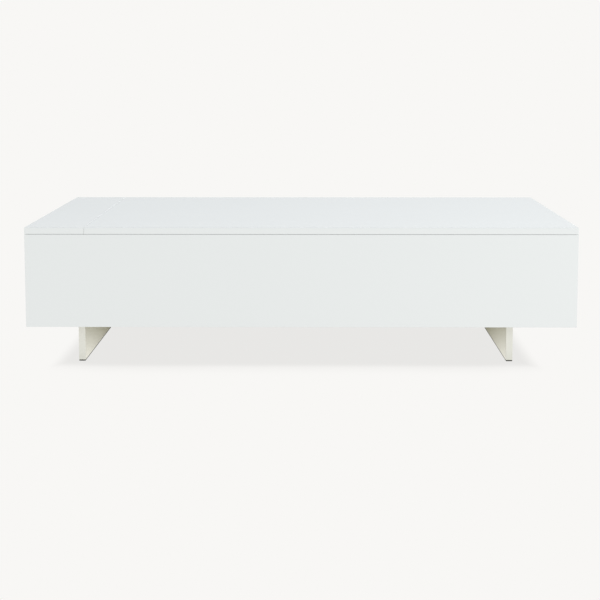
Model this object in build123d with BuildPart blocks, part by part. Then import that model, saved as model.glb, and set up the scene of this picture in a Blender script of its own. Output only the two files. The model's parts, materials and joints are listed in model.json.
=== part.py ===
from build123d import *
from math import cos, radians, sin
import os

# Lift top coffee table. Millimetres, +Z up, the front is at -Y and +X is to the right of a person
# who faces it. The origin is on the floor, under the middle of the table.
#
# The carcass is a box of boards on two slab legs. A narrow strip of the top is fixed at the left.
# The rest is a lid on two parallel-arm lifts, one at each end of the storage compartment. The lid
# stays level as it rises and swings forward, and a gas strut helps each lift.

# Overall sizes
table_width = 1300.0
table_depth = 650.0
underside_height = 96.0  # floor to the underside of the carcass
carcass_height = 220.5
lid_gap = 0.5  # shadow gap between the carcass and the top boards
top_thickness = 16.0
board_thickness = 16.0
lacquered_edge = 0.8  # radius of the carcass boards' and the legs' edges
top_edge = 1.2  # radius of the top boards' edges

# The seam across the top, and the partition under it
seam_from_left = 140.0
seam_gap = 0.4

# Legs
leg_thickness = 16.0
leg_depth = 530.0
left_leg_from_left = 120.5  # to the middle of the leg
right_leg_from_left = 1151.0
glide_height = 3.0
glide_inset = 0.5
glide_chamfer = 0.6
glide_screw_pitch = 220.0
glide_screw_inset = 0.3  # the heads stay clear of the floor
leg_bolt_tip_space = 8.0
leg_bolt_pitch = 200.0
leg_dowel_pitch = 200.0

# Lift mechanism, drawn with the lid closed. Each point is (y, z)
lift_angle = 100.0  # turn of the arms from closed to open
arm_rest_angle = 8.0  # rise of the arms above the horizontal, lid closed
arm_length = 230.0
front_arm_pivot = (-200.0, 260.0)
rear_pivot_offset = (67.0, -44.0)  # from the front arm's pivot to the rear arm's
strut_pivot_radius = 100.0  # from the front arm's pivot to each end of its strut
arm_width = 25.0
arm_thickness = 3.0
arm_slots = {"front": (125.0, 205.0), "rear": (35.0, 195.0)}  # from the arm's base pivot
arm_slot_width = 7.0
plate_thickness = 2.5

# Base bracket, as (y, z) from the front arm's pivot
base_bracket_outline = [(-35, 26), (36, 26), (105, -18), (105, -120), (-35, -120)]
base_bracket_screws_at = [(-22, 13), (-22, -107), (92, -107), (92, -32)]
base_bracket_slot_at = (72, -78)
base_bracket_slot_length = 40.0
base_bracket_slot_width = 16.0
bracket_corner = 10.0

# Top bracket: its web as (y, z) from the front arm's upper pivot, and its flange under the lid
top_bracket_toe = [(-17, -12), (54, -60), (78, -60), (86, -40)]
top_bracket_root = (-32, 122)
top_flange_width = 30.0
top_flange_length = 260.0
top_flange_start = -60.0
flange_corner = 6.0
flange_screws_at = [(22, -45), (11, 15), (11, 125), (22, 185)]  # (from the web, y)

# Mechanism layers, as depths from the wall that carries it
arm_layer = 3.5
top_bracket_layer = 7.5
strut_layer = 22.2

# Pins, screws and their clearances
pivot_radius = 4.0
pin_clearance = 0.05
pin_hole_radius = pivot_radius + pin_clearance
washer_radius = 9.0
washer_thickness = 0.8
rivet_head_radius = 7.5
rivet_crown_radius = 5.0
rivet_rim_height = 0.8
rivet_crown_height = 1.7
rivet_head_height = 2.0
rivet_tail_radius = 7.0
rivet_tail_chamfer = 1.0
rivet_tail_height = 1.8
rivet_play = 0.3
screw_radius = 2.0
screw_head_radius = 4.0
screw_length = 14.5
pilot_depth = 12.6
recess_length = 4.6
recess_width = 1.1
recess_depth = 1.3

# Bumpers on the carcass's top edge
bumper_radius = 4.5
bumper_chamfer = 0.2
bumper_inset = 32.0

# Board joints
cam_radius = 7.4
cam_thickness = 12.0
cam_bore_radius = 7.5
cam_bore_depth = 12.4
cam_from_edge = 34.0
cam_face_inset = 0.2
cam_bolt_radius = 3.0
cam_bolt_in_face = 10.5
cam_bolt_point_radius = 2.2
cam_bolt_point_length = 1.5
cam_bolt_neck_radius = 1.8
cam_bolt_neck_length = 3.5
cam_bolt_short_of_cam = 0.5
cam_bolt_bore_radius = 3.6
dowel_radius = 4.0
dowel_in_face = 12.0
dowel_in_edge = 18.0
dowel_end_space = 0.5
end_chamfer = 0.8  # on dowels and bolts

# Leg bolts and their threaded inserts
leg_bolt_radius = 3.0
leg_bolt_length = 35.0
leg_bolt_head_radius = 6.5
leg_bolt_head_height = 4.5
leg_bolt_socket_radius = 2.3
leg_bolt_socket_depth = 3.0
leg_bolt_counterbore_depth = 5.0
insert_radius = 5.0
insert_length = 20.0
insert_grooves = 4
insert_groove_pitch = 4.0
insert_groove_width = 1.6
insert_groove_depth = 0.6

# Rails under the fixed strip
rail_depth = 22.0
rail_height = 20.0
rail_screw_length = 30.0
rail_screws_x = (-590.0, -562.0)
strip_screws_x = (-612.0, -543.0)

# Cams, dowels and screws along the boards
upright_cam_levels = (150.0, 270.0)
upright_dowel_level = 210.0
bottom_cams_x = (-576.0, -300.0, 60.0, 400.0)
bottom_dowels_x = (-440.0, -120.0, 230.0, 570.0)
side_dowels_y = (-150.0, 150.0)

# Gas struts. Along a strut, distances run from the middle of the eye at that end
eye_radius = 8.0
eye_width = 9.0
eye_neck_radius = 4.0
eye_neck_start = 5.0
eye_play = 0.3
stud_collar_radius = 7.0
stud_end_chamfer = 0.5
stud_end_length = 1.8  # beyond the snap ring's groove
clip_groove_radius = 3.2
clip_radius = 6.5
clip_thickness = 0.9
clip_mouth = 4.8
tube_start = 12.0
tube_end = 107.0
tube_radius = 7.5
tube_bore_radius = 6.5
tube_base = 3.0
tube_start_chamfer = 1.0
tube_end_roll = 0.6
cylinder_stub_radius = 2.5
rod_start = 18.0
rod_shoulder = 106.0
rod_end = 111.6
rod_radius = 3.0
rod_stub_radius = 2.0
rod_stub_length = 7.0
piston_radius = 6.2
piston_ring_groove = (1.6, 3.6)  # from the rod's shoulder
piston_ring_groove_depth = 1.0
guide_length = 8.0
guide_inset = 0.5

# Levels, faces and points that follow from these
carcass_top = underside_height + carcass_height
lid_underside = carcass_top + lid_gap
table_height = lid_underside + top_thickness
floor_of_box = underside_height + board_thickness
half_width = table_width / 2
half_depth = table_depth / 2
inner_x = half_width - board_thickness
inner_y = half_depth - board_thickness
seam_x = seam_from_left - half_width
strip_edge_x = seam_x - seam_gap / 2
lid_edge_x = seam_x + seam_gap / 2
partition_left_x = seam_x - board_thickness / 2
partition_right_x = seam_x + board_thickness / 2
leg_middles = {"left": left_leg_from_left - half_width, "right": right_leg_from_left - half_width}
middle_of_bottom_board = underside_height + board_thickness / 2


def turned_point(start, distance, angle):
    """The (y, z) point at a distance from start, at an angle above +Y."""
    return (start[0] + distance * cos(radians(angle)), start[1] + distance * sin(radians(angle)))


def from_point(start, offsets):
    """The (y, z) points at offsets from start."""
    return [(start[0] + y, start[1] + z) for y, z in offsets]


rear_arm_pivot = from_point(front_arm_pivot, [rear_pivot_offset])[0]
front_lid_pivot = turned_point(front_arm_pivot, arm_length, arm_rest_angle)
rear_lid_pivot = turned_point(rear_arm_pivot, arm_length, arm_rest_angle)
# Both ends of the strut are equally far from the arm's pivot, so the strut turns half as far as
# the arm, and it is in line with the pivot when the lid is open.
strut_foot_angle = arm_rest_angle + lift_angle - 180.0
strut_foot = turned_point(front_arm_pivot, strut_pivot_radius, strut_foot_angle)
strut_head = turned_point(front_arm_pivot, strut_pivot_radius, arm_rest_angle)
strut_angle = (strut_foot_angle + arm_rest_angle) / 2 + 90.0
strut_direction = (0.0, cos(radians(strut_angle)), sin(radians(strut_angle)))

# Each lift stands on a wall: the wall's x, and the way from it into the compartment
lifts = {"left": (partition_right_x, 1), "right": (inner_x, -1)}
# Each long panel's side of the table, and the middle of each upright board between the two
fronts = {"front": -1, "back": 1}
upright_middles = {
    "left": -half_width + board_thickness / 2,
    "partition": seam_x,
    "right": half_width - board_thickness / 2,
}

os.makedirs("parts", exist_ok=True)


def save(piece, node):
    """Labels a finished piece and writes it as one file."""
    piece.part.label = node
    export_step(piece.part, f"parts/{node}.step")


def board(low, high):
    """Adds a flat board between two opposite corners."""
    middle = [(a + b) / 2 for a, b in zip(low, high)]
    with Locations(tuple(middle)):
        Box(high[0] - low[0], high[1] - low[1], high[2] - low[2])


def drill(radius, depth, mouths):
    """Cuts round holes from planes that lie on a face."""
    with Locations(*mouths):
        Hole(radius, depth)


def facing(normal, points, x_dir=None):
    """A plane at each point, all facing along normal."""
    return [Plane(origin=point, x_dir=x_dir, z_dir=normal) for point in points]


def copies(part, places):
    """Copies of one part, each standing on a plane, as separate solids."""
    with BuildPart() as group:
        with Locations(*places):
            add(part)
    return group


# ---------------------------------------------------------------------------------------------
# Board joints. Each interface is a plane between a board's face and another board's edge, with
# its normal pointing into the edge.
# ---------------------------------------------------------------------------------------------


def upright_edges(upright, end, levels):
    """Interfaces between an upright board's edge and the front or back panel."""
    side = fronts[end]
    points = [(upright_middles[upright], side * inner_y, level) for level in levels]
    return facing((0, -side, 0), points)


def bottom_edges(end, places):
    """Interfaces between the bottom board's long edge and the front or back panel."""
    side = fronts[end]
    points = [(x, side * inner_y, middle_of_bottom_board) for x in places]
    return facing((0, -side, 0), points)


def bottom_ends(side):
    """Interfaces between the bottom board's short edge and an end panel."""
    points = [(side * inner_x, y, middle_of_bottom_board) for y in side_dowels_y]
    return facing((-side, 0, 0), points)


partition_feet = facing((0, 0, 1), [(seam_x, y, floor_of_box) for y in side_dowels_y])


def leg_dowel_places(leg):
    """Interfaces between a leg's top edge and the bottom board."""
    x = leg_middles[leg]
    points = [(x, side * leg_dowel_pitch / 2, underside_height) for side in (-1, 1)]
    return facing((0, 0, -1), points)


def leg_bolt_places(leg, level):
    """Planes, facing up, on the axes of a leg's bolts."""
    return facing((0, 0, 1), [(leg_middles[leg], n * leg_bolt_pitch, level) for n in (-1, 0, 1)])


def cam_places(upright, face_x, face_side, end):
    """Planes on an upright board's face, over its cams, with X pointing to the joined edge."""
    side = fronts[end]
    y = side * (inner_y - cam_from_edge)
    points = [(face_x, y, level) for level in upright_cam_levels]
    return facing((face_side, 0, 0), points, (0, side, 0))


def bottom_cam_places(end):
    """Planes on the underside, over the bottom board's cams."""
    side = fronts[end]
    y = side * (inner_y - cam_from_edge)
    return facing((0, 0, -1), [(x, y, underside_height) for x in bottom_cams_x], (0, side, 0))


def drill_cam_edges(edges):
    """Bores along a board, from its edge to the middle of each cam."""
    drill(cam_bolt_bore_radius, cam_from_edge, edges)


def drill_dowels(depth, interfaces):
    """Dowel holes with a little space at the end."""
    drill(dowel_radius + pin_clearance, depth + dowel_end_space, interfaces)


# ---------------------------------------------------------------------------------------------
# Fasteners
# ---------------------------------------------------------------------------------------------


def countersunk_screw(length):
    """A wood screw: its head is flush with Z = 0 and it points along -Z."""
    head_height = screw_head_radius - screw_radius
    with BuildPart() as screw:
        with BuildSketch(Plane.XZ):
            with BuildLine():
                Polyline((0, 0), (screw_head_radius, 0), (screw_radius, -head_height),
                         (screw_radius, 2 * screw_radius - length), (0, -length), close=True)
            make_face()
        revolve(axis=Axis.Z)
        with BuildSketch(Plane.XY):
            Rectangle(recess_length, recess_width)
            Rectangle(recess_width, recess_length)
        extrude(amount=-recess_depth, mode=Mode.SUBTRACT)
    return screw.part


def countersinks(mouths, depth):
    """Countersunk holes whose screw heads lie flush."""
    with Locations(*mouths):
        CounterSinkHole(screw_radius + pin_clearance, screw_head_radius + pin_clearance, depth,
                        counter_sink_angle=90)


bracket_screw = countersunk_screw(screw_length)
rail_screw = countersunk_screw(rail_screw_length)

with BuildPart() as cam:
    with BuildSketch(Plane.XY.offset(-cam_face_inset - cam_thickness)):
        Circle(cam_radius)
    extrude(amount=cam_thickness)
    with BuildSketch(Plane.YZ):
        with Locations((0, -board_thickness / 2)):
            Circle(cam_bolt_bore_radius)
    extrude(amount=cam_bore_radius, mode=Mode.SUBTRACT)
    with BuildSketch(Plane.XY.offset(-cam_face_inset)):
        Rectangle(2 * recess_length, 2 * recess_width)
        Rectangle(2 * recess_width, 2 * recess_length)
    extrude(amount=-2 * recess_depth, mode=Mode.SUBTRACT)

with BuildPart() as cam_bolt:
    # Z = 0 is the face the bolt is screwed into. Its head ends in the middle of the cam.
    thread_start = cam_bolt_point_length - cam_bolt_in_face
    neck_start = cam_from_edge - cam_radius
    neck_end = neck_start + cam_bolt_neck_length
    bolt_end = cam_from_edge - cam_bolt_short_of_cam
    with BuildSketch(Plane.XZ):
        with BuildLine():
            Polyline((0, -cam_bolt_in_face), (cam_bolt_point_radius, -cam_bolt_in_face),
                     (cam_bolt_radius, thread_start), (cam_bolt_radius, neck_start),
                     (cam_bolt_neck_radius, neck_start), (cam_bolt_neck_radius, neck_end),
                     (cam_bolt_radius, neck_end), (cam_bolt_radius, bolt_end), (0, bolt_end),
                     close=True)
        make_face()
    revolve(axis=Axis.Z)

with BuildPart() as dowel:
    with BuildSketch(Plane.XY.offset(-dowel_in_face)):
        Circle(dowel_radius)
    extrude(amount=dowel_in_face + dowel_in_edge)
    chamfer(dowel.edges().filter_by(GeomType.CIRCLE), end_chamfer)

with BuildPart() as leg_bolt:
    # Z = 0 is the seat under the head.
    with BuildSketch(Plane.XY):
        Circle(leg_bolt_head_radius)
    extrude(amount=leg_bolt_head_height)
    chamfer(leg_bolt.faces().sort_by(Axis.Z)[-1].edges(), end_chamfer)
    with BuildSketch(Plane.XY.offset(leg_bolt_head_height)):
        RegularPolygon(leg_bolt_socket_radius, 6)
    extrude(amount=-leg_bolt_socket_depth, mode=Mode.SUBTRACT)
    with BuildSketch(Plane.XY):
        Circle(leg_bolt_radius)
    extrude(amount=-leg_bolt_length)
    chamfer(leg_bolt.faces().sort_by(Axis.Z)[0].edges(), end_chamfer)

with BuildPart() as leg_insert:
    # Z = 0 is the leg's top edge.
    with BuildSketch(Plane.XY.offset(-cam_face_inset)):
        Circle(insert_radius - pin_clearance)
        Circle(leg_bolt_radius + pin_clearance, mode=Mode.SUBTRACT)
    extrude(amount=-insert_length)
    for groove in range(1, insert_grooves + 1):
        with BuildSketch(Plane.XY.offset(-insert_groove_pitch * groove)):
            Circle(insert_radius)
            Circle(insert_radius - insert_groove_depth, mode=Mode.SUBTRACT)
        extrude(amount=-insert_groove_width, mode=Mode.SUBTRACT)

# ---------------------------------------------------------------------------------------------
# Carcass boards
# ---------------------------------------------------------------------------------------------

for end, side in fronts.items():
    outer_y = side * half_depth
    low_y = min(outer_y, side * inner_y)
    with BuildPart() as long_panel:
        board((-half_width, low_y, underside_height),
              (half_width, low_y + board_thickness, carcass_top))
        fillet(long_panel.edges(), lacquered_edge)
        for upright in upright_middles:
            drill(cam_bolt_radius + pin_clearance, cam_bolt_in_face + dowel_end_space,
                  upright_edges(upright, end, upright_cam_levels))
            drill_dowels(dowel_in_face, upright_edges(upright, end, [upright_dowel_level]))
        drill(cam_bolt_radius + pin_clearance, cam_bolt_in_face + dowel_end_space,
              bottom_edges(end, bottom_cams_x))
        drill_dowels(dowel_in_face, bottom_edges(end, bottom_dowels_x))
        rail_mouths = [(x, side * inner_y, lid_underside - rail_height / 2) for x in rail_screws_x]
        drill(screw_radius + pin_clearance, rail_screw_length - rail_depth + dowel_end_space,
              facing((0, -side, 0), rail_mouths))
    save(long_panel, f"{end}_panel")


def bracket_screw_points():
    """The (y, z) points of a base bracket's screws."""
    return from_point(front_arm_pivot, base_bracket_screws_at)


def wall_mouths(lift, depth, points):
    """Planes facing into the compartment, at a depth from a lift's wall."""
    wall_x, way = lifts[lift]
    return facing((way, 0, 0), [(wall_x + way * depth, y, z) for y, z in points])


for end, way in (("left", 1), ("right", -1)):
    inner_face = -way * inner_x
    low_x = min(inner_face, -way * half_width)
    with BuildPart() as end_panel:
        board((low_x, -inner_y, underside_height), (low_x + board_thickness, inner_y, carcass_top))
        fillet(end_panel.edges(), lacquered_edge)
        for front in fronts:
            drill(cam_bore_radius, cam_bore_depth, cam_places(end, inner_face, way, front))
            drill_cam_edges(upright_edges(end, front, upright_cam_levels))
            drill_dowels(dowel_in_edge, upright_edges(end, front, [upright_dowel_level]))
        drill_dowels(dowel_in_face, bottom_ends(-way))
        if end == "right":
            drill(screw_radius + pin_clearance, pilot_depth,
                  wall_mouths("right", 0, bracket_screw_points()))
    save(end_panel, f"{end}_end_panel")

with BuildPart() as partition_panel:
    board((partition_left_x, -inner_y, floor_of_box), (partition_right_x, inner_y, carcass_top))
    fillet(partition_panel.edges().group_by(Axis.Z)[-1], lacquered_edge)
    for front in fronts:
        drill(cam_bore_radius, cam_bore_depth, cam_places("partition", partition_left_x, -1, front))
        drill_cam_edges(upright_edges("partition", front, upright_cam_levels))
        drill_dowels(dowel_in_edge, upright_edges("partition", front, [upright_dowel_level]))
    drill_dowels(dowel_in_edge, partition_feet)
    drill(screw_radius + pin_clearance, pilot_depth,
          wall_mouths("left", 0, bracket_screw_points()))
save(partition_panel, "partition_panel")

with BuildPart() as bottom_panel:
    board((-inner_x, -inner_y, underside_height), (inner_x, inner_y, floor_of_box))
    for front in fronts:
        drill(cam_bore_radius, cam_bore_depth, bottom_cam_places(front))
        drill_cam_edges(bottom_edges(front, bottom_cams_x))
        drill_dowels(dowel_in_edge, bottom_edges(front, bottom_dowels_x))
    for side in (-1, 1):
        drill_dowels(dowel_in_edge, bottom_ends(side))
    drill_dowels(dowel_in_face, partition_feet)
    for leg in leg_middles:
        drill_dowels(dowel_in_face, leg_dowel_places(leg))
        drill(leg_bolt_radius + 4 * pin_clearance, board_thickness,
              leg_bolt_places(leg, floor_of_box))
        drill(leg_bolt_head_radius + dowel_end_space, leg_bolt_counterbore_depth,
              leg_bolt_places(leg, floor_of_box))
save(bottom_panel, "bottom_panel")

# ---------------------------------------------------------------------------------------------
# Fixed strip of the top, on two rails that stand proud of the carcass by the shadow gap
# ---------------------------------------------------------------------------------------------

rail_low_z = lid_underside - rail_height
for end, side in fronts.items():
    inner_rail_y = side * (inner_y - rail_depth)
    low_y = min(inner_rail_y, side * inner_y)
    strip_mouths = [(x, low_y + rail_depth / 2, rail_low_z) for x in strip_screws_x]
    rail_mouths = [(x, inner_rail_y, lid_underside - rail_height / 2) for x in rail_screws_x]
    with BuildPart() as strip_rail:
        board((-inner_x, low_y, rail_low_z), (partition_left_x, low_y + rail_depth, lid_underside))
        countersinks(facing((0, 0, -1), strip_mouths), rail_height)
        countersinks(facing((0, -side, 0), rail_mouths), rail_depth)
    save(strip_rail, f"{end}_strip_rail")

# The upright corners at the seam are left square, so the joint is one fine line on the front
with BuildPart() as fixed_top_strip:
    board((-half_width, -half_depth, lid_underside), (strip_edge_x, half_depth, table_height))
    strip_seam_corners = fixed_top_strip.edges().filter_by(Axis.Z).group_by(Axis.X)[-1]
    fillet(fixed_top_strip.edges() - strip_seam_corners, top_edge)
    strip_holes = [(x, side * (inner_y - rail_depth / 2), lid_underside)
                   for x in strip_screws_x for side in (-1, 1)]
    drill(screw_radius + pin_clearance, rail_screw_length - rail_height + dowel_end_space,
          facing((0, 0, -1), strip_holes))
save(fixed_top_strip, "fixed_top_strip")

# ---------------------------------------------------------------------------------------------
# Legs and glides
# ---------------------------------------------------------------------------------------------



def glide_screw_places(leg, level):
    """Planes, facing down, on the axes of a glide's screws."""
    points = [(leg_middles[leg], n * glide_screw_pitch, level) for n in (-1, 0, 1)]
    return facing((0, 0, -1), points)


for leg, middle in leg_middles.items():
    with BuildPart() as leg_panel:
        board((middle - leg_thickness / 2, -leg_depth / 2, glide_height),
              (middle + leg_thickness / 2, leg_depth / 2, underside_height))
        fillet(leg_panel.edges().group_by(Axis.Z)[:-1], lacquered_edge)
        drill_dowels(dowel_in_edge, leg_dowel_places(leg))
        drill(insert_radius, insert_length + dowel_end_space,
              leg_bolt_places(leg, underside_height))
        drill(leg_bolt_radius + dowel_end_space,
              leg_bolt_length - board_thickness + leg_bolt_tip_space,
              leg_bolt_places(leg, underside_height))
        drill(screw_radius + pin_clearance, pilot_depth, glide_screw_places(leg, glide_height))
    save(leg_panel, f"{leg}_leg_panel")

    with BuildPart() as leg_glide:
        board((middle - leg_thickness / 2 + glide_inset, glide_inset - leg_depth / 2, 0),
              (middle + leg_thickness / 2 - glide_inset, leg_depth / 2 - glide_inset, glide_height))
        chamfer(leg_glide.edges().group_by(Axis.Z)[0], glide_chamfer)
        countersinks(glide_screw_places(leg, glide_screw_inset), glide_height)
    save(leg_glide, f"{leg}_leg_glide")

# ---------------------------------------------------------------------------------------------
# Lid
# ---------------------------------------------------------------------------------------------


def flange_screw_places(lift, level):
    """Planes, facing down, on the axes of a top bracket's screws into the lid."""
    wall_x, way = lifts[lift]
    web_x = wall_x + way * top_bracket_layer
    return facing((0, 0, -1), [(web_x + way * x, y, level) for x, y in flange_screws_at])


with BuildPart() as lid_panel:
    board((lid_edge_x, -half_depth, lid_underside), (half_width, half_depth, table_height))
    lid_seam_corners = lid_panel.edges().filter_by(Axis.Z).group_by(Axis.X)[0]
    fillet(lid_panel.edges() - lid_seam_corners, top_edge)
    for lift in lifts:
        drill(screw_radius + pin_clearance, pilot_depth, flange_screw_places(lift, lid_underside))
save(lid_panel, "lid_panel")

# Rubber bumpers on the carcass keep the shadow gap when the lid is down
with BuildPart() as lid_bumpers:
    with BuildSketch(Plane.XY.offset(carcass_top)):
        with Locations((seam_x + bumper_inset, 0), (half_width - bumper_inset, 0)):
            with GridLocations(1, table_depth - board_thickness, 1, 2):
                Circle(bumper_radius)
    extrude(amount=lid_gap)
    chamfer(lid_bumpers.edges().group_by(Axis.Z)[-1], bumper_chamfer)
save(lid_bumpers, "lid_bumpers")

# ---------------------------------------------------------------------------------------------
# Lift mechanism
# ---------------------------------------------------------------------------------------------


def arm_plane(lift, depth):
    """The YZ plane at a depth from a lift's wall."""
    wall_x, way = lifts[lift]
    return Plane.YZ.offset(wall_x + way * depth)


def pivot_places(points):
    """Section planes of turned pins on both lifts: X is the pin's axis, out of the wall."""
    places = []
    for wall_x, way in lifts.values():
        for y, z in points:
            places.append(Plane(origin=(wall_x, y, z), x_dir=(way, 0, 0), z_dir=(0, 1, 0)))
    return places


def turned_pins(outline, points):
    """Turned pins on both lifts, from half of their section as (depth, radius) points."""
    with BuildPart() as pins:
        for place in pivot_places(points):
            with BuildSketch(place):
                with BuildLine():
                    Polyline(*outline, close=True)
                make_face()
            revolve(axis=Axis(place.origin, place.x_dir))
    return pins


def washers(depth, points):
    """Flat washers on both lifts, from a depth outwards."""
    with BuildPart() as rings:
        for lift, (wall_x, way) in lifts.items():
            with BuildSketch(arm_plane(lift, depth)):
                with Locations(*points):
                    Circle(washer_radius)
                    Circle(pivot_radius + 2 * pin_clearance, mode=Mode.SUBTRACT)
            extrude(amount=way * washer_thickness)
    return rings


arm_outer_face = arm_layer + arm_thickness
base_pivots = [front_arm_pivot, rear_arm_pivot]
lid_pivots = [front_lid_pivot, rear_lid_pivot]
base_bracket_points = from_point(front_arm_pivot, base_bracket_outline)
base_bracket_slot = from_point(front_arm_pivot, [base_bracket_slot_at])[0]
top_bracket_points = [
    (front_lid_pivot[0] + top_bracket_root[0], lid_underside),
    *from_point(front_lid_pivot, top_bracket_toe),
    (front_lid_pivot[0] + top_bracket_root[1], lid_underside),
]

for lift, (wall_x, way) in lifts.items():
    with BuildPart() as base_bracket:
        with BuildSketch(arm_plane(lift, 0)) as outline:
            with BuildLine():
                Polyline(*base_bracket_points, close=True)
            make_face()
            fillet(outline.vertices(), bracket_corner)
            with Locations(*base_pivots, strut_foot):
                Circle(pin_hole_radius, mode=Mode.SUBTRACT)
            with Locations(base_bracket_slot):
                SlotOverall(base_bracket_slot_length, base_bracket_slot_width, rotation=90,
                            mode=Mode.SUBTRACT)
        extrude(amount=way * plate_thickness)
        countersinks(wall_mouths(lift, plate_thickness, bracket_screw_points()), plate_thickness)
    save(base_bracket, f"{lift}_base_bracket")

    for arm, pivot in (("front", front_arm_pivot), ("rear", rear_arm_pivot)):
        slot_start, slot_end = arm_slots[arm]
        slot_middle = turned_point(pivot, (slot_start + slot_end) / 2, arm_rest_angle)
        with BuildPart() as lift_arm:
            with BuildSketch(arm_plane(lift, arm_layer)):
                with Locations(turned_point(pivot, arm_length / 2, arm_rest_angle)):
                    SlotCenterToCenter(arm_length, arm_width, rotation=arm_rest_angle)
                with Locations(slot_middle):
                    SlotOverall(slot_end - slot_start, arm_slot_width, rotation=arm_rest_angle,
                                mode=Mode.SUBTRACT)
                with Locations(pivot, turned_point(pivot, arm_length, arm_rest_angle)):
                    Circle(pin_hole_radius, mode=Mode.SUBTRACT)
                if arm == "front":
                    with Locations(strut_head):
                        Circle(pin_hole_radius, mode=Mode.SUBTRACT)
            extrude(amount=way * arm_thickness)
        save(lift_arm, f"{lift}_{arm}_arm")

    with BuildPart() as top_bracket:
        with BuildSketch(arm_plane(lift, top_bracket_layer)) as outline:
            with BuildLine():
                Polyline(*top_bracket_points, close=True)
            make_face()
            fillet(outline.vertices().sort_by(Axis.Y)[:len(top_bracket_toe)], bracket_corner)
            with Locations(*lid_pivots):
                Circle(pin_hole_radius, mode=Mode.SUBTRACT)
        extrude(amount=way * plate_thickness)
        near_x = wall_x + way * top_bracket_layer
        far_x = near_x + way * top_flange_width
        with BuildSketch(Plane.XY.offset(lid_underside - plate_thickness)) as flange:
            with Locations(((near_x + far_x) / 2, top_flange_start + top_flange_length / 2)):
                Rectangle(top_flange_width, top_flange_length)
            fillet(flange.vertices().group_by(Axis.X)[-1 if way > 0 else 0], flange_corner)
        extrude(amount=plate_thickness)
        countersinks(flange_screw_places(lift, lid_underside - plate_thickness), plate_thickness)
    save(top_bracket, f"{lift}_top_bracket")

base_screw_places = [place for lift in lifts
                     for place in wall_mouths(lift, plate_thickness, bracket_screw_points())]
base_bracket_screws = copies(bracket_screw, base_screw_places)
save(base_bracket_screws, "base_bracket_screws")

top_screw_places = [place for lift in lifts
                    for place in flange_screw_places(lift, lid_underside - plate_thickness)]
top_bracket_screws = copies(bracket_screw, top_screw_places)
save(top_bracket_screws, "top_bracket_screws")



def rivet_head(seat):
    """Half of the section of a low domed head, from its seat outwards."""
    return [(seat, pivot_radius), (seat, rivet_head_radius),
            (seat + rivet_rim_height, rivet_head_radius),
            (seat + rivet_crown_height, rivet_crown_radius), (seat + rivet_head_height, 0)]


base_rivet_outline = [(0, 0), (0, pivot_radius), *rivet_head(arm_outer_face + rivet_play)]
save(turned_pins(base_rivet_outline, base_pivots), "base_pivot_rivets")

tail_seat = arm_layer - rivet_play
tail_end = tail_seat - rivet_tail_height
lid_rivet_outline = [
    (tail_end, 0), (tail_end, rivet_tail_radius - rivet_tail_chamfer),
    (tail_end + rivet_tail_chamfer, rivet_tail_radius), (tail_seat, rivet_tail_radius),
    (tail_seat, pivot_radius), *rivet_head(top_bracket_layer + plate_thickness)]
save(turned_pins(lid_rivet_outline, lid_pivots), "lid_pivot_rivets")

save(washers(plate_thickness, base_pivots), "base_pivot_washers")
save(washers(top_bracket_layer - washer_thickness, lid_pivots), "lid_pivot_washers")

# ---------------------------------------------------------------------------------------------
# Gas struts
# ---------------------------------------------------------------------------------------------

eye_near = strut_layer - eye_width / 2
eye_far = strut_layer + eye_width / 2
clip_start = eye_far + eye_play
groove_end = clip_start + clip_thickness + 2 * pin_clearance
stud_end = groove_end + stud_end_length


def stud_outline(start, plate_face):
    """Half of a stud's section. It is riveted into a plate or an arm and carries an eye."""
    return [(start, 0), (start, pivot_radius), (plate_face, pivot_radius),
            (plate_face, stud_collar_radius), (eye_near - eye_play, stud_collar_radius),
            (eye_near - eye_play, pivot_radius), (clip_start, pivot_radius),
            (clip_start, clip_groove_radius), (groove_end, clip_groove_radius),
            (groove_end, pivot_radius), (stud_end - stud_end_chamfer, pivot_radius),
            (stud_end, pivot_radius - stud_end_chamfer), (stud_end, 0)]


save(turned_pins(stud_outline(0, plate_thickness), [strut_foot]), "strut_foot_studs")
save(turned_pins(stud_outline(arm_layer, arm_outer_face), [strut_head]), "strut_arm_studs")


def stud_clips(point):
    """Snap rings in the grooves of both lifts' studs at a point, open on one side."""
    with BuildPart() as clips:
        for lift, (wall_x, way) in lifts.items():
            with BuildSketch(arm_plane(lift, clip_start + pin_clearance)):
                with Locations(point):
                    Circle(clip_radius)
                    Circle(clip_groove_radius + pin_clearance, mode=Mode.SUBTRACT)
                    Rectangle(clip_radius, clip_mouth, align=(Align.MIN, Align.CENTER),
                              mode=Mode.SUBTRACT)
            extrude(amount=way * clip_thickness)
    return clips


save(stud_clips(strut_foot), "strut_foot_clips")
save(stud_clips(strut_head), "strut_arm_clips")


def strut_plane(lift, end):
    """A plane along a strut: X runs from the eye at that end towards the other one."""
    wall_x, way = lifts[lift]
    (y, z), sign = (strut_foot, 1) if end == "foot" else (strut_head, -1)
    along = tuple(sign * component for component in strut_direction)
    return Plane(origin=(wall_x + way * strut_layer, y, z), x_dir=along, z_dir=(1, 0, 0))


def turned(plane, outline):
    """A piece turned about the plane's X axis, from half of its section."""
    with BuildPart() as piece:
        with BuildSketch(plane):
            with BuildLine():
                Polyline(*outline, close=True)
            make_face()
        revolve(axis=Axis(plane.origin, plane.x_dir))
    return piece


def eye(plane, neck_outline):
    """An end fitting: a ring round the stud, with a turned neck along the strut."""
    with BuildPart() as fitting:
        with BuildSketch(plane):
            with BuildLine():
                Polyline(*neck_outline, close=True)
            make_face()
        revolve(axis=Axis(plane.origin, plane.x_dir))
        with BuildSketch(plane.offset(-eye_width / 2)):
            Circle(eye_radius)
        extrude(amount=eye_width)
        with BuildSketch(plane.offset(-eye_width / 2)):
            Circle(pin_hole_radius)
        extrude(amount=eye_width, mode=Mode.SUBTRACT)
    return fitting


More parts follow.
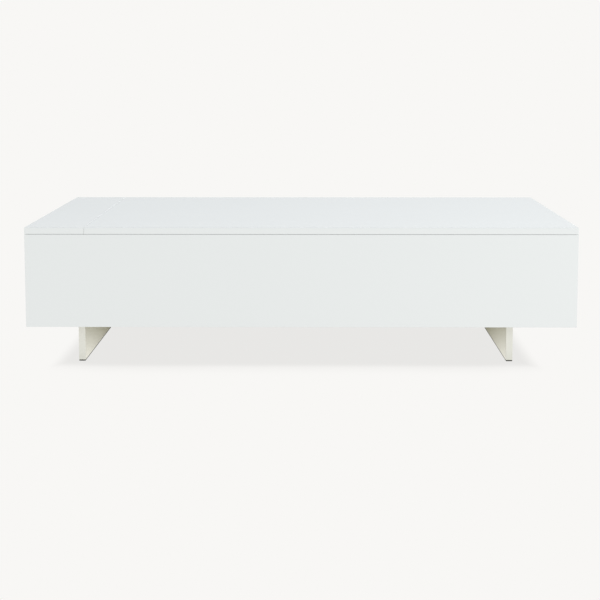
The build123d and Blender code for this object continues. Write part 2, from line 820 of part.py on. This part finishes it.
tube_bottom = tube_start + tube_base
cylinder_stub_bore = cylinder_stub_radius + pin_clearance
cylinder_outline = [
    (tube_start, cylinder_stub_bore), (tube_start, tube_radius - tube_start_chamfer),
    (tube_start + tube_start_chamfer, tube_radius), (tube_end - tube_end_roll, tube_radius),
    (tube_end, tube_radius - tube_end_roll), (tube_end, tube_bore_radius),
    (tube_bottom, tube_bore_radius), (tube_bottom, cylinder_stub_bore)]
cylinder_neck_outline = [
    (eye_neck_start, 0), (eye_neck_start, eye_neck_radius), (tube_start, eye_neck_radius),
    (tube_start, cylinder_stub_radius), (tube_bottom, cylinder_stub_radius), (tube_bottom, 0)]

guide_start = tube_end - guide_length
guide_end = tube_end - guide_inset
guide_bore = rod_radius + eye_play
guide_radius = tube_bore_radius - pin_clearance
guide_outline = [(guide_start, guide_bore), (guide_start, guide_radius),
                 (guide_end, guide_radius), (guide_end, guide_bore)]

rod_stub_start = rod_start - rod_stub_length
rod_stub_bore = rod_stub_radius + pin_clearance
rod_outline = [
    (rod_stub_start, 0), (rod_stub_start, rod_stub_radius), (rod_start, rod_stub_radius),
    (rod_start, rod_radius), (rod_shoulder, rod_radius), (rod_shoulder, rod_stub_radius),
    (rod_end, rod_stub_radius), (rod_end, 0)]
rod_neck_outline = [
    (eye_neck_start, 0), (eye_neck_start, eye_neck_radius), (rod_start, eye_neck_radius),
    (rod_start, rod_stub_bore), (rod_stub_start, rod_stub_bore), (rod_stub_start, 0)]

ring_start, ring_end = [rod_shoulder + distance for distance in piston_ring_groove]
ring_radius = piston_radius - piston_ring_groove_depth
piston_outline = [
    (rod_shoulder, rod_stub_bore), (rod_shoulder, piston_radius), (ring_start, piston_radius),
    (ring_start, ring_radius), (ring_end, ring_radius), (ring_end, piston_radius),
    (rod_end, piston_radius), (rod_end, rod_stub_bore)]

for lift in lifts:
    foot = strut_plane(lift, "foot")
    save(turned(foot, cylinder_outline), f"{lift}_gas_cylinder")
    save(eye(foot, cylinder_neck_outline), f"{lift}_cylinder_eye")
    save(turned(foot, guide_outline), f"{lift}_rod_guide")

    head = strut_plane(lift, "head")
    save(turned(head, rod_outline), f"{lift}_gas_rod")
    save(eye(head, rod_neck_outline), f"{lift}_rod_eye")
    save(turned(head, piston_outline), f"{lift}_piston")

# ---------------------------------------------------------------------------------------------
# Fasteners in place
# ---------------------------------------------------------------------------------------------

cam_planes = []
for front in fronts:
    cam_planes += cam_places("left", -inner_x, 1, front)
    cam_planes += cam_places("partition", partition_left_x, -1, front)
    cam_planes += cam_places("right", inner_x, -1, front)
    cam_planes += bottom_cam_places(front)
save(copies(cam.part, cam_planes), "cam_locks")

cam_bolt_planes = []
dowel_planes = list(partition_feet)
for front in fronts:
    for upright in upright_middles:
        cam_bolt_planes += upright_edges(upright, front, upright_cam_levels)
        dowel_planes += upright_edges(upright, front, [upright_dowel_level])
    cam_bolt_planes += bottom_edges(front, bottom_cams_x)
    dowel_planes += bottom_edges(front, bottom_dowels_x)
for side in (-1, 1):
    dowel_planes += bottom_ends(side)
save(copies(cam_bolt.part, cam_bolt_planes), "cam_bolts")
save(copies(dowel.part, dowel_planes), "carcass_dowels")

leg_dowel_planes = []
leg_bolt_planes = []
leg_insert_planes = []
glide_screw_planes = []
for leg in leg_middles:
    leg_dowel_planes += leg_dowel_places(leg)
    leg_bolt_planes += leg_bolt_places(leg, floor_of_box - leg_bolt_counterbore_depth)
    leg_insert_planes += leg_bolt_places(leg, underside_height)
    glide_screw_planes += glide_screw_places(leg, glide_screw_inset)
save(copies(dowel.part, leg_dowel_planes), "leg_dowels")
save(copies(leg_bolt.part, leg_bolt_planes), "leg_bolts")
save(copies(leg_insert.part, leg_insert_planes), "leg_inserts")
save(copies(bracket_screw, glide_screw_planes), "glide_screws")

strip_screw_planes = []
rail_screw_planes = []
for end, side in fronts.items():
    middle_y = side * (inner_y - rail_depth / 2)
    strip_screw_planes += facing((0, 0, -1), [(x, middle_y, rail_low_z) for x in strip_screws_x])
    rail_screw_planes += facing((0, -side, 0), [(x, side * (inner_y - rail_depth),
                                                 lid_underside - rail_height / 2)
                                                for x in rail_screws_x])
save(copies(rail_screw, strip_screw_planes), "strip_screws")
save(copies(rail_screw, rail_screw_planes), "rail_screws")
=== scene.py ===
"""Looks for the lift top coffee table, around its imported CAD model. Metres, the front is at -Y."""

import json
import math

import bpy
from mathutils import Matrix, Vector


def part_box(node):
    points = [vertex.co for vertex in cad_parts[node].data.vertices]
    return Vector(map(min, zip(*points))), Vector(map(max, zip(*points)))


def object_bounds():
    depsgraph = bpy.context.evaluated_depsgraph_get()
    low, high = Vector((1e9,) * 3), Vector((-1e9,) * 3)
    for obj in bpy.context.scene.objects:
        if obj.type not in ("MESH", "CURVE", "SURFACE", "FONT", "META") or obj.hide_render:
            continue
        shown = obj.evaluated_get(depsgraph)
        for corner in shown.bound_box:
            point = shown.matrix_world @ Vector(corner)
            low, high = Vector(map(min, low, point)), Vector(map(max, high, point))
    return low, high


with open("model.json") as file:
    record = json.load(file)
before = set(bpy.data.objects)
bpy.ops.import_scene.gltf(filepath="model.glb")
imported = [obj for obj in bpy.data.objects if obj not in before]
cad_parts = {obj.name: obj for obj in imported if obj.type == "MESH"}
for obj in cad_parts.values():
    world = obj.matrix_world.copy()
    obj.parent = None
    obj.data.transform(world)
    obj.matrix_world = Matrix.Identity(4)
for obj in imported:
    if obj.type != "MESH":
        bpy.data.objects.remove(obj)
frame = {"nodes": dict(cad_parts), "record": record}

cad_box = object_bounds()
nodes = frame["nodes"]
table_middle = (cad_box[0] + cad_box[1]) / 2
left_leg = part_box("left_leg_panel")
right_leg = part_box("right_leg_panel")
legs_middle = (left_leg[0].x + right_leg[1].x) / 2
legs_reach = (right_leg[1].x - left_leg[0].x) / 2

# Colours, linear
OPAQUE = 1.0
WHITE_LACQUER = (0.800, 0.822, 0.818)
# the legs' white lacquer, made lighter and warmer than the body's: painted warm bounce light on the
# shaded legs
LEG_LACQUER_PAINTED_LIGHT = (0.850, 0.845, 0.780)
MELAMINE = (0.760, 0.765, 0.755)
PINE = (0.62, 0.42, 0.21)
PINE_GRAIN = (0.42, 0.24, 0.10)
BEECH = (0.55, 0.34, 0.17)
BEECH_GRAIN = (0.38, 0.21, 0.09)
GLIDE_GREY = (0.055, 0.056, 0.052)
BUMPER_GREY = (0.42, 0.42, 0.41)
BRACKET_BLACK = (0.016, 0.017, 0.018)
STRUT_BLACK = (0.010, 0.010, 0.011)
ZINC = (0.60, 0.62, 0.64)
CHROME = (0.70, 0.71, 0.72)
NYLON = (0.62, 0.60, 0.54)
BRASS = (0.66, 0.46, 0.17)

GRAIN_STRETCH = 0.05  # scale of the noise along the grain, next to 1 across it

# Background and floor, linear
BACKGROUND = (0.939, 0.930, 0.913)
SHADE = (0.807, 0.800, 0.785)  # of the floor under the table, as it is shown
BOUNCE_FRONT = (1.000, 0.980, 0.900)  # of the floor between the legs' fronts, as light
BOUNCE_BACK = (0.220, 0.205, 0.130)  # of the floor between the legs' backs, as light
BOUNCE_REACH = 0.12  # metres behind the middle of the table, where it is darkest
CONTACT_LIGHT = 0.60  # share of the floor's light just before the legs
CONTACT_BAND = 0.03  # metres, half of the depth of the dark band there
CONTACT_FADE = 0.03  # metres
FLOOR_SIZE = 400.0
SHADE_REACH = 0.30  # metres
SHADE_FULL = 0.35  # how much of the space above is open where the shade is full
SHADE_NONE = 0.70
SHADE_BESIDE = (0.020, 0.066)  # metres past the legs, where the shade fades out
SHADE_SAMPLES = 32

# Soft light of the studio. By height: (sine of the height, strength), from the horizon up
STUDIO = (0.925, 0.948, 0.960)
LIGHT_BY_HEIGHT = ((0.0, 0.98), (0.100, 0.98), (0.135, 1.06), (0.24, 0.88))
FRONT_LIGHT = 0.945
BACK_LIGHT = 0.975
ACROSS_LIGHT = (0.94, 1.06)  # at the left and at the right
ACROSS_REACH = 0.20  # sine of the angle to the side where it is reached

# Soft boxes: name, place, width, height, watts, colour, and whether the gloss mirrors it
SOFT_BOXES = (
    ("key", (2.6, -2.4, 1.3), 1.6, 1.2, 17.0, (1.0, 1.0, 1.0), False),
    ("fill", (0.0, -3.6, 0.35), 4.0, 0.5, 4.0, (1.0, 0.98, 0.94), False),
    ("low_left", (-2.7, -0.7, 0.17), 0.8, 0.25, 4.5, (1.0, 0.99, 0.96), False),
    ("low_right", (2.7, -0.7, 0.17), 0.8, 0.25, 4.5, (1.0, 0.99, 0.96), False),
    ("rim", (0.0, 6.0, 1.5), 5.0, 0.2, 2.8, (1.0, 1.0, 1.0), True),
)

# Camera
CAMERA_PLACE = (0.0311, -3.1900, 0.7203)
CAMERA_DOWN = 5.487  # degrees
CAMERA_LEFT = 0.311  # degrees
CAMERA_LENS = 74.04  # millimetres
CAMERA_SENSOR = 36.0  # millimetres
CAMERA_SHIFT = (-0.013, -0.20)


# ------------------------------------------------------------------------------------------------
# Node helpers
# ------------------------------------------------------------------------------------------------


class Nodes:
    """A node tree under construction, with short calls for the nodes it needs."""

    MIX_FIRST, MIX_SECOND, MIX_RESULT = 6, 7, 2  # the Mix node's sockets for colours

    def __init__(self, tree):
        self.tree = tree

    def node(self, kind, inputs=(), **settings):
        """A new node, with values or links for its input sockets."""
        made = self.tree.nodes.new("ShaderNode" + kind)
        for name, value in settings.items():
            setattr(made, name, value)
        for socket, value in dict(inputs).items():
            if isinstance(value, bpy.types.NodeSocket):
                self.tree.links.new(value, made.inputs[socket])
            else:
                made.inputs[socket].default_value = value
        return made

    def map_range(self, value, low, high, **settings):
        """A value turned from its range, low, into another range, high."""
        inputs = {"Value": value, "From Min": low[0], "From Max": low[1],
                  "To Min": high[0], "To Max": high[1]}
        return self.node("MapRange", inputs, **settings).outputs["Result"]

    def math(self, operation, first, second=0.0):
        return self.node("Math", {0: first, 1: second}, operation=operation).outputs[0]

    def mix_colour(self, factor, first, second):
        """A colour between two, by a 0 to 1 factor. Each is a colour's numbers or a link."""
        first, second = ((*colour, OPAQUE) if isinstance(colour, tuple) else colour
                         for colour in (first, second))
        inputs = {"Factor": factor, self.MIX_FIRST: first, self.MIX_SECOND: second}
        return self.node("Mix", inputs, data_type="RGBA").outputs[self.MIX_RESULT]


class Material(Nodes):
    """A surface's material, textured in object space."""

    NOISE_MIDDLE = (0.3, 0.7)  # the part of noise's 0 to 1 that is in common use

    def __init__(self, name, roughness, **constants):
        self.data = bpy.data.materials.new(name)
        self.data.use_nodes = True
        super().__init__(self.data.node_tree)
        self.shader = self.tree.nodes["Principled BSDF"]
        self.shader.inputs["Roughness"].default_value = roughness
        for socket, value in constants.items():
            self.shader.inputs[socket.replace("_", " ")].default_value = value
        self.place = self.node("TexCoord").outputs["Object"]

    def noise(self, scale, detail=2.0, stretch=(1, 1, 1)):
        """Noise from 0 to 1, with features about 1 / scale metres across."""
        place = self.node("Mapping", {"Vector": self.place, "Scale": stretch}).outputs[0]
        inputs = {"Vector": place, "Scale": scale, "Detail": detail}
        return self.node("TexNoise", inputs).outputs["Fac"]

    def spread(self, noise, low, high):
        """Noise turned into a range."""
        return self.map_range(noise, self.NOISE_MIDDLE, (low, high))

    def colour(self, output):
        self.tree.links.new(output, self.shader.inputs["Base Color"])

    def roughness(self, output):
        self.tree.links.new(output, self.shader.inputs["Roughness"])

    def bump(self, height, strength, metres):
        inputs = {"Height": height, "Strength": strength, "Distance": metres}
        made = self.node("Bump", inputs)
        self.tree.links.new(made.outputs["Normal"], self.shader.inputs["Normal"])


def lighter(colour, factor):
    return tuple(min(channel * factor, 1.0) for channel in colour)


# ------------------------------------------------------------------------------------------------
# Materials, one function for each kind of surface
# ------------------------------------------------------------------------------------------------


def gloss_lacquer(name, colour):
    """Polished lacquer on fibreboard: orange peel, and a haze of faint polishing marks."""
    made = Material(name, roughness=0.08)
    made.colour(made.mix_colour(made.noise(3.0), lighter(colour, 0.995), lighter(colour, 1.005)))
    made.roughness(made.spread(made.noise(4.0), low=0.07, high=0.09))
    made.bump(made.noise(160.0, detail=1.0), strength=0.03, metres=0.0004)
    return made.data


def melamine(name, colour):
    """Satin melamine facing with a fine pressed pearl texture."""
    made = Material(name, roughness=0.42)
    made.colour(made.mix_colour(made.noise(5.0), lighter(colour, 0.98), lighter(colour, 1.01)))
    made.roughness(made.spread(made.noise(30.0, detail=3.0), low=0.38, high=0.48))
    made.bump(made.noise(900.0), strength=0.12, metres=0.0002)
    return made.data


def powder_coat(name, colour):
    """Satin powder coat: a fine pebbled skin on pressed steel."""
    made = Material(name, roughness=0.45)
    made.colour(made.mix_colour(made.noise(40.0, detail=3.0), colour, lighter(colour, 1.25)))
    made.roughness(made.spread(made.noise(120.0, detail=3.0), low=0.38, high=0.55))
    made.bump(made.noise(1400.0), strength=0.25, metres=0.0002)
    return made.data


def metal(name, colour, rough):
    """Bare or plated metal, slightly mottled."""
    made = Material(name, rough, Metallic=1.0)
    mottle = made.noise(60.0, detail=3.0)
    made.colour(made.mix_colour(mottle, lighter(colour, 0.88), lighter(colour, 1.06)))
    made.roughness(made.spread(made.noise(500.0, detail=3.0), low=rough * 0.7, high=rough * 1.4))
    made.bump(made.noise(900.0), strength=0.08, metres=0.0001)
    return made.data


def moulded(name, colour, rough):
    """Moulded plastic or rubber with a spark-eroded texture."""
    made = Material(name, rough)
    cloud = made.noise(90.0, detail=3.0)
    made.colour(made.mix_colour(cloud, lighter(colour, 0.9), lighter(colour, 1.1)))
    made.roughness(made.spread(made.noise(200.0), low=rough * 0.85, high=rough * 1.15))
    made.bump(made.noise(1500.0), strength=0.2, metres=0.0001)
    return made.data


def timber(name, colour, dark, along):
    """Planed timber with grain along one axis."""
    stretch = tuple(GRAIN_STRETCH if axis == along else 1.0 for axis in "xyz")
    made = Material(name, roughness=0.6)
    grain = made.noise(260.0, detail=5.0, stretch=stretch)
    made.colour(made.mix_colour(made.spread(grain, low=0.0, high=1.0), dark, colour))
    made.roughness(made.spread(grain, low=0.5, high=0.7))
    made.bump(grain, strength=0.2, metres=0.0002)
    return made.data


finishes = {
    "white_lacquer": gloss_lacquer("white_lacquer_gloss", WHITE_LACQUER),
    # a lighter, warmer copy of the white lacquer for the legs: painted bounce light
    "leg_lacquer": gloss_lacquer("leg_lacquer_gloss_painted_light", LEG_LACQUER_PAINTED_LIGHT),
    "white_melamine": melamine("melamine_pearl", MELAMINE),
    "softwood_batten": timber("batten_pine", PINE, PINE_GRAIN, along="x"),
    "beech_dowel": timber("dowel_beech", BEECH, BEECH_GRAIN, along="y"),
    "glide_plastic": moulded("glide_grey", GLIDE_GREY, rough=0.6),
    "bumper_rubber": moulded("bumper_clear_grey", BUMPER_GREY, rough=0.5),
    "bracket_steel": powder_coat("lift_powder_coat", BRACKET_BLACK),
    "zinc_steel": metal("zinc_plate", ZINC, rough=0.30),
    "strut_black": powder_coat("strut_paint", STRUT_BLACK),
    "polished_rod": metal("rod_chrome", CHROME, rough=0.09),
    "nylon": moulded("nylon_natural", NYLON, rough=0.45),
    "brass_insert": metal("insert_brass", BRASS, rough=0.28),
}

for subpart in frame["record"]["subparts"]:
    node = nodes[subpart["node"]]
    node.data.materials.clear()
    node.data.materials.append(finishes[subpart["material_slot"]])

# ------------------------------------------------------------------------------------------------
# Floor, light and camera
# ------------------------------------------------------------------------------------------------


def floor_material():
    """A pale floor, seamless with the background. Its only shade is the soft one at the table.

    It glows, so its shade is set here and not by the lights. The shade is where the table covers
    the floor, and it stops a little way past the legs. As light for the table, the floor is darker
    under it, more so towards the back, and in a band before the legs' fronts.
    """
    material = bpy.data.materials.new("studio_floor")
    material.use_nodes = True
    material.node_tree.nodes.clear()
    made = Nodes(material.node_tree)
    cover = made.node("AmbientOcclusion", {"Distance": SHADE_REACH}, samples=SHADE_SAMPLES)
    uncovered = made.map_range(cover.outputs["AO"], (SHADE_FULL, SHADE_NONE), (0.0, 1.0),
                               interpolation_type="SMOOTHSTEP")
    place = made.node("SeparateXYZ", {0: made.node("TexCoord").outputs["Object"]}).outputs
    outwards = made.math("ABSOLUTE", made.math("SUBTRACT", place["X"], legs_middle))
    edge = tuple(legs_reach + distance for distance in SHADE_BESIDE)
    beside = made.map_range(outwards, edge, (0.0, 1.0), interpolation_type="SMOOTHSTEP")
    depth = made.map_range(place["Y"], (left_leg[0].y, BOUNCE_REACH), (0.0, 1.0))
    bounce = made.mix_colour(depth, BOUNCE_FRONT, BOUNCE_BACK)
    seen = made.node("LightPath").outputs["Is Camera Ray"]
    shade = made.mix_colour(seen, bounce, SHADE)
    colour = made.mix_colour(made.math("MAXIMUM", uncovered, beside), shade, BACKGROUND)
    band_middle = left_leg[0].y - CONTACT_BAND
    off_band = made.math("ABSOLUTE", made.math("SUBTRACT", place["Y"], band_middle))
    contact = made.map_range(off_band, (CONTACT_BAND, CONTACT_BAND + CONTACT_FADE),
                             (CONTACT_LIGHT, 1.0), interpolation_type="SMOOTHSTEP")
    strength = made.math("MAXIMUM", seen, contact)
    glow = made.node("Emission", {"Color": colour, "Strength": strength})
    made.node("OutputMaterial", {"Surface": glow.outputs[0]})
    material.cycles.emission_sampling = "NONE"
    return material


def studio_world():
    """An even background, and soft light that changes with its height and its side."""
    world = bpy.data.worlds.new("studio")
    world.use_nodes = True
    world.node_tree.nodes.clear()
    made = Nodes(world.node_tree)
    direction = made.node("SeparateXYZ", {0: made.node("TexCoord").outputs["Generated"]}).outputs
    rise = made.node("ValToRGB", {0: direction["Z"]})
    rise.color_ramp.interpolation = "EASE"
    stops = rise.color_ramp.elements
    for step, (height, strength) in enumerate(LIGHT_BY_HEIGHT):
        stop = stops[step] if step < len(stops) else stops.new(height)
        stop.position = height
        stop.color = (strength, strength, strength, OPAQUE)
    facing = made.map_range(direction["Y"], (-1.0, 1.0), (FRONT_LIGHT, BACK_LIGHT))
    across = made.map_range(direction["X"], (-ACROSS_REACH, ACROSS_REACH), ACROSS_LIGHT)
    total = made.math("MULTIPLY", made.math("MULTIPLY", rise.outputs["Color"], facing), across)
    light = made.node("Background", {"Color": (*STUDIO, OPAQUE), "Strength": total})
    shown = made.node("Background", {"Color": (*BACKGROUND, OPAQUE)})
    seen = made.node("LightPath").outputs["Is Camera Ray"]
    mix = made.node("MixShader", {0: seen, 1: light.outputs[0], 2: shown.outputs[0]})
    made.node("OutputWorld", {"Surface": mix.outputs[0]})
    return world


def soft_box(name, place, width, height, watts, colour, mirrored):
    """A rectangular studio light, turned to the middle of the table."""
    data = bpy.data.lights.new(name, "AREA")
    data.shape = "RECTANGLE"
    data.size = width
    data.size_y = height
    data.energy = watts
    data.color = colour
    light = bpy.data.objects.new(name, data)
    light.location = place
    aim = table_middle - light.location
    light.rotation_euler = aim.to_track_quat("-Z", "Y").to_euler()
    light.visible_camera = False
    light.visible_glossy = mirrored
    bpy.context.scene.collection.objects.link(light)


bpy.ops.mesh.primitive_plane_add(size=FLOOR_SIZE)
floor = bpy.context.object
floor.name = "studio_floor"
floor.data.materials.append(floor_material())

bpy.context.scene.world = studio_world()
for soft_box_settings in SOFT_BOXES:
    soft_box(*soft_box_settings)

camera_data = bpy.data.cameras.new("camera")
camera_data.lens = CAMERA_LENS
camera_data.sensor_width = CAMERA_SENSOR
camera_data.shift_x, camera_data.shift_y = CAMERA_SHIFT
camera = bpy.data.objects.new("camera", camera_data)
camera.location = CAMERA_PLACE
camera.rotation_euler = (math.radians(90.0 - CAMERA_DOWN), 0.0, math.radians(CAMERA_LEFT))
bpy.context.scene.collection.objects.link(camera)
bpy.context.scene.camera = camera

bpy.context.scene.view_settings.view_transform = "Standard"
